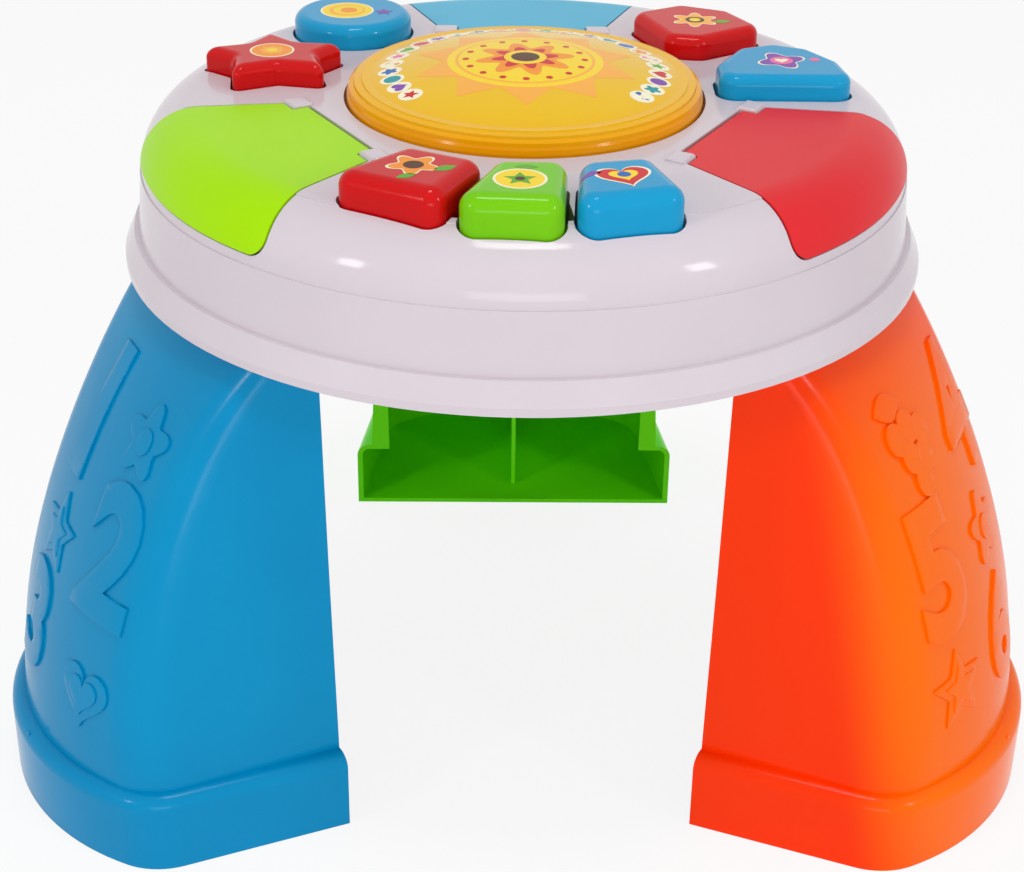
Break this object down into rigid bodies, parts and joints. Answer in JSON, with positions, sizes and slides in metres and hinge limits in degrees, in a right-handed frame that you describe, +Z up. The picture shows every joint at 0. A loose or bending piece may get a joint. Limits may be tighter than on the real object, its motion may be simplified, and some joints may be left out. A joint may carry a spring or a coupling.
{
  "type": "musical activity table",
  "caption": "Low round musical activity table for small children: a casing with a press dome, shaped buttons and lift-up flaps on wide hollow legs.",
  "frame": {"origin": "point on the floor under the axis of the round casing", "axes": "+Z up along the casing's axis; -Y is the front, between the left and the right leg; +X to the right"},
  "size_m": [0.5284, 0.485, 0.344],
  "materials": {
    "casing_white": "moulded white plastic, glossy",
    "leg_blue": "moulded blue plastic",
    "leg_orange": "moulded orange plastic",
    "leg_green": "moulded green plastic",
    "flap_green": "moulded light green plastic",
    "flap_red": "moulded red plastic",
    "flap_blue": "moulded light blue plastic",
    "dome_amber": "translucent amber plastic",
    "button_red": "glossy red plastic",
    "button_blue": "glossy blue plastic",
    "button_green": "glossy green plastic",
    "steel": "plain steel",
    "silicone": "silicone rubber",
    "board_green": "circuit board laminate",
    "board_black": "black components",
    "lamp_clear": "clear epoxy",
    "speaker_black": "black paper cone",
    "cell_wrap": "wrapped battery cell",
    "inner_white": "moulded white plastic, matt"
  },
  "bodies": {
    "table": {"top_shell": "casing_white", "bottom_shell": "casing_white", "dome_seat": "inner_white", "dome_springs": "steel", "lamp_board": "board_green", "lamps": "lamp_clear", "key_board": "board_green", "main_board": "board_green", "board_parts": "board_black", "speaker_frame": "steel", "speaker_cone": "speaker_black", "battery_cells": "cell_wrap", "battery_contacts": "steel", "battery_door": "casing_white", "battery_door_screw": "steel", "case_screws": "steel", "switch_body": "board_black", "left_leg": "leg_blue", "right_leg": "leg_orange", "back_leg": "leg_green", "left_flap_pin": "steel", "left_flap_tray": "casing_white", "right_flap_pin": "steel", "right_flap_tray": "casing_white", "back_flap_pin": "steel", "back_flap_tray": "casing_white", "star_button_pad": "silicone", "round_button_pad": "silicone", "shield_button_pad": "silicone", "quarter_button_pad": "silicone", "left_key_pad": "silicone", "middle_key_pad": "silicone", "right_key_pad": "silicone"},
    "star_button": {"star_button": "button_red"},
    "round_button": {"round_button": "button_blue"},
    "shield_button": {"shield_button": "button_red"},
    "quarter_button": {"quarter_button": "button_blue"},
    "left_key": {"left_key": "button_red"},
    "middle_key": {"middle_key": "button_green"},
    "right_key": {"right_key": "button_blue"},
    "dome": {"dome_cap": "dome_amber"},
    "left_flap": {"left_flap": "flap_green"},
    "right_flap": {"right_flap": "flap_red"},
    "back_flap": {"back_flap": "flap_blue"},
    "switch_knob": {"switch_knob": "board_black"}
  },
  "joints": [
    {"name": "star_button_press", "type": "slide", "parent": "table", "child": "star_button", "axis": [0, 0, -1], "range_m": [0, 0.0035], "stiffness_N_per_m": 400, "springref_m": -0.002, "deforming": ["star_button_pad"]},
    {"name": "round_button_press", "type": "slide", "parent": "table", "child": "round_button", "axis": [0, 0, -1], "range_m": [0, 0.0035], "stiffness_N_per_m": 400, "springref_m": -0.002, "deforming": ["round_button_pad"]},
    {"name": "shield_button_press", "type": "slide", "parent": "table", "child": "shield_button", "axis": [0, 0, -1], "range_m": [0, 0.0035], "stiffness_N_per_m": 400, "springref_m": -0.002, "deforming": ["shield_button_pad"]},
    {"name": "quarter_button_press", "type": "slide", "parent": "table", "child": "quarter_button", "axis": [0, 0, -1], "range_m": [0, 0.0035], "stiffness_N_per_m": 400, "springref_m": -0.002, "deforming": ["quarter_button_pad"]},
    {"name": "left_key_press", "type": "slide", "parent": "table", "child": "left_key", "axis": [0, 0, -1], "range_m": [0, 0.0035], "stiffness_N_per_m": 400, "springref_m": -0.002, "deforming": ["left_key_pad"]},
    {"name": "middle_key_press", "type": "slide", "parent": "table", "child": "middle_key", "axis": [0, 0, -1], "range_m": [0, 0.0035], "stiffness_N_per_m": 400, "springref_m": -0.002, "deforming": ["middle_key_pad"]},
    {"name": "right_key_press", "type": "slide", "parent": "table", "child": "right_key", "axis": [0, 0, -1], "range_m": [0, 0.0035], "stiffness_N_per_m": 400, "springref_m": -0.002, "deforming": ["right_key_pad"]},
    {"name": "dome_press", "type": "slide", "parent": "table", "child": "dome", "axis": [0, 0, -1], "range_m": [0, 0.003], "stiffness_N_per_m": 1200, "springref_m": -0.003, "deforming": ["dome_springs"]},
    {"name": "left_flap_hinge", "type": "hinge", "parent": "table", "child": "left_flap", "pos_m": [-0.08955, -0.0517, 0.3226], "axis": [-0.5, 0.866, 0], "range_deg": [0, 100]},
    {"name": "right_flap_hinge", "type": "hinge", "parent": "table", "child": "right_flap", "pos_m": [0.08955, -0.0517, 0.3226], "axis": [-0.5, -0.866, 0], "range_deg": [0, 100]},
    {"name": "back_flap_hinge", "type": "hinge", "parent": "table", "child": "back_flap", "pos_m": [0, 0.1034, 0.3226], "axis": [1, 0, 0], "range_deg": [0, 100]},
    {"name": "power_switch_slide", "type": "slide", "parent": "table", "child": "switch_knob", "axis": [0, 1, 0], "range_m": [0, 0.008]}
  ]
}
